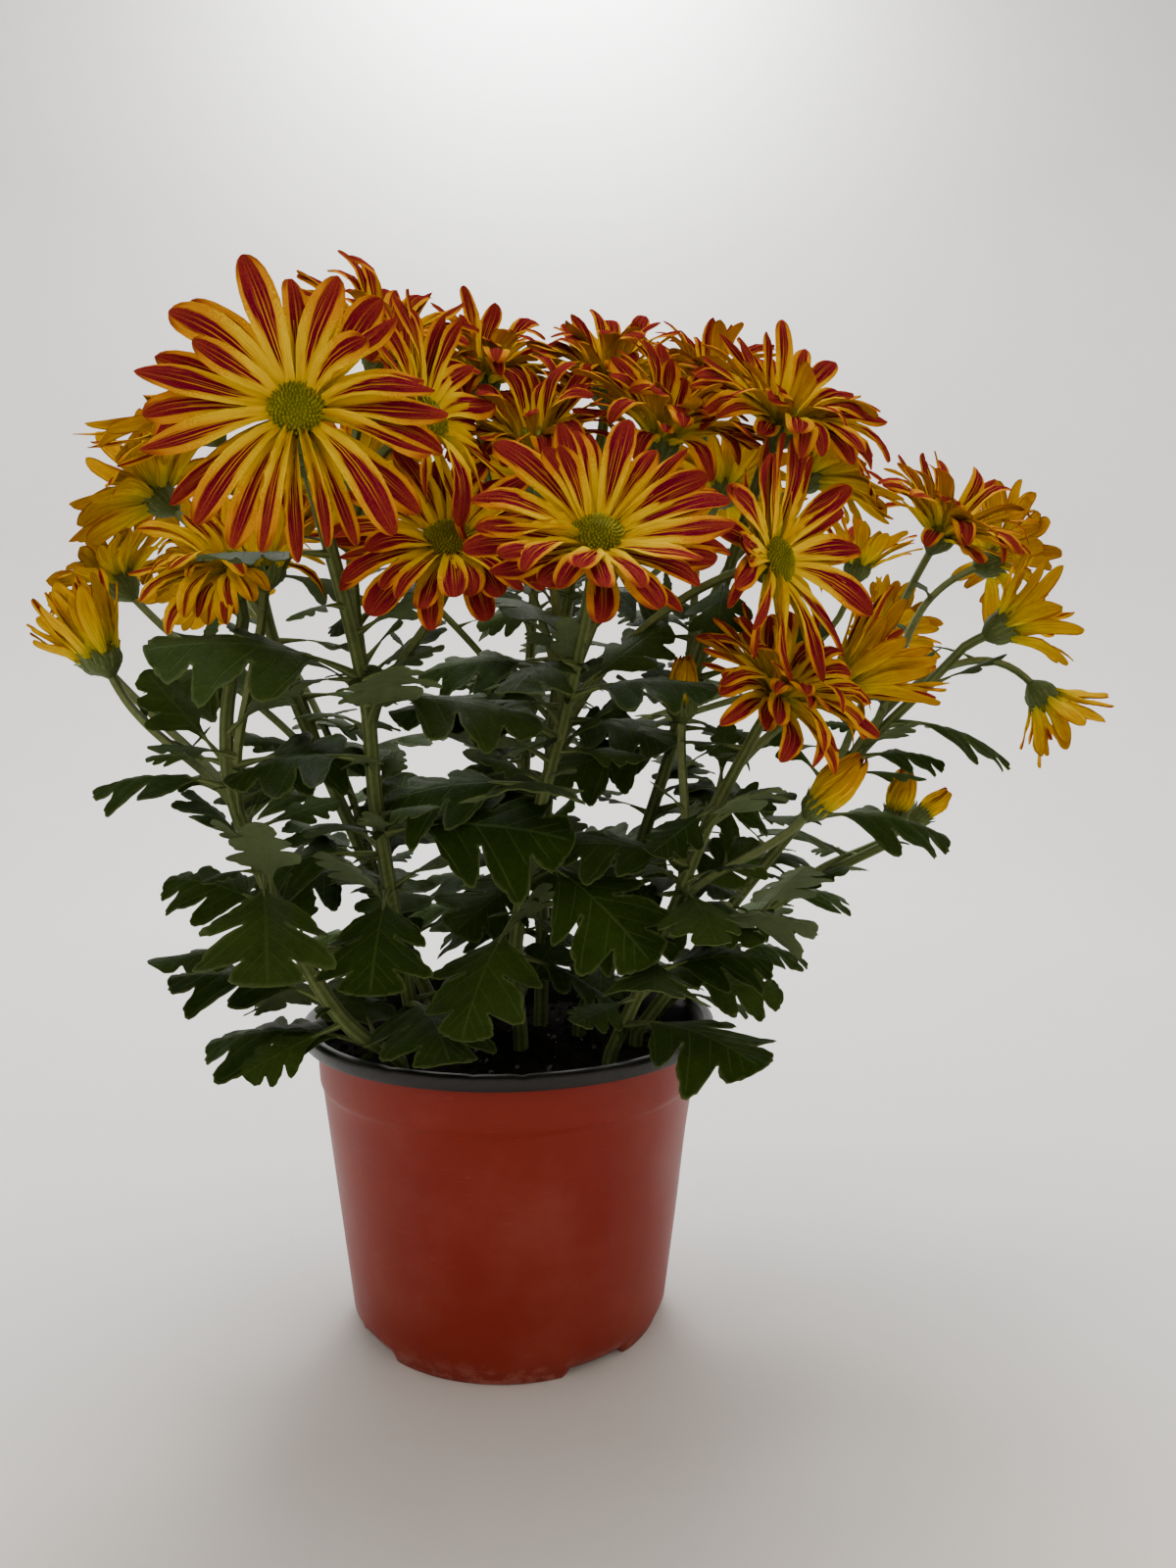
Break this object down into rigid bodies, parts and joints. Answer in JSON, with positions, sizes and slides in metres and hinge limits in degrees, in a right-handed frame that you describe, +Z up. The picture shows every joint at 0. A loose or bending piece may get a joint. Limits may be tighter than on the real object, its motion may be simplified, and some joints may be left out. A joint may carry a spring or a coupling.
{
  "type": "potted chrysanthemum",
  "caption": "Bushy flowering plant with striped daisy blooms on branching leafy stems, rooted in potting mix in a tapered plastic pot.",
  "frame": {"origin": "middle of the flat underside of the pot, on the surface that it stands on", "axes": "+Z up along the pot's axis, -Y towards the viewer of the front, +X to the viewer's right, where the plant leans furthest"},
  "size_m": [0.4173, 0.2767, 0.3705],
  "materials": {
    "pot": "satin terracotta outside, black rim and inside",
    "potting_mix": "dark, crumbly and matt",
    "foliage": "matt green",
    "rays": "soft sheen, yellow with crimson stripes",
    "disc": "matt green-yellow"
  },
  "bodies": {
    "root": {"pot": "pot", "potting_mix": "potting_mix", "shoot_left_front": "foliage", "shoot_middle_left": "foliage", "shoot_middle": "foliage", "shoot_right_front": "foliage", "shoot_right": "foliage", "shoot_low_right": "foliage", "shoot_centre": "foliage", "shoot_centre_right": "foliage", "shoot_left_back": "foliage", "shoot_back": "foliage", "rays_front_left": "rays", "rays_front_middle": "rays", "rays_mid_left": "rays", "rays_right_front": "rays", "rays_low_right": "rays", "rays_low_right_half": "rays", "rays_top_right": "rays", "rays_right_high": "rays", "rays_right_behind": "rays", "rays_right_half": "rays", "rays_right_nodding": "rays", "rays_back_right_cup": "rays", "rays_back_right_low": "rays", "rays_right_inner": "rays", "rays_left_front": "rays", "rays_left_half": "rays", "rays_left_half_low": "rays", "rays_left_behind": "rays", "rays_upper_left": "rays", "rays_left_outer": "rays", "rays_left_cup": "rays", "rays_top_left": "rays", "rays_top_middle_left": "rays", "rays_top_middle": "rays", "rays_top_back": "rays", "rays_centre_high": "rays", "rays_centre_left_high": "rays", "rays_left_high": "rays", "rays_back_left": "rays", "rays_back_middle": "rays", "rays_back_right": "rays", "rays_back_left_low": "rays", "disc_front_left": "disc", "disc_front_middle": "disc", "disc_mid_left": "disc", "disc_right_front": "disc", "disc_top_right": "disc", "disc_left_front": "disc", "disc_upper_left": "disc", "disc_top_left": "disc", "disc_top_middle_left": "disc", "disc_top_middle": "disc", "disc_back_left": "disc", "disc_back_middle": "disc", "bud_right_bud": "rays", "bud_far_bud_left": "rays", "bud_far_bud_right": "rays", "bud_middle_bud": "rays"}
  },
  "joints": []
}
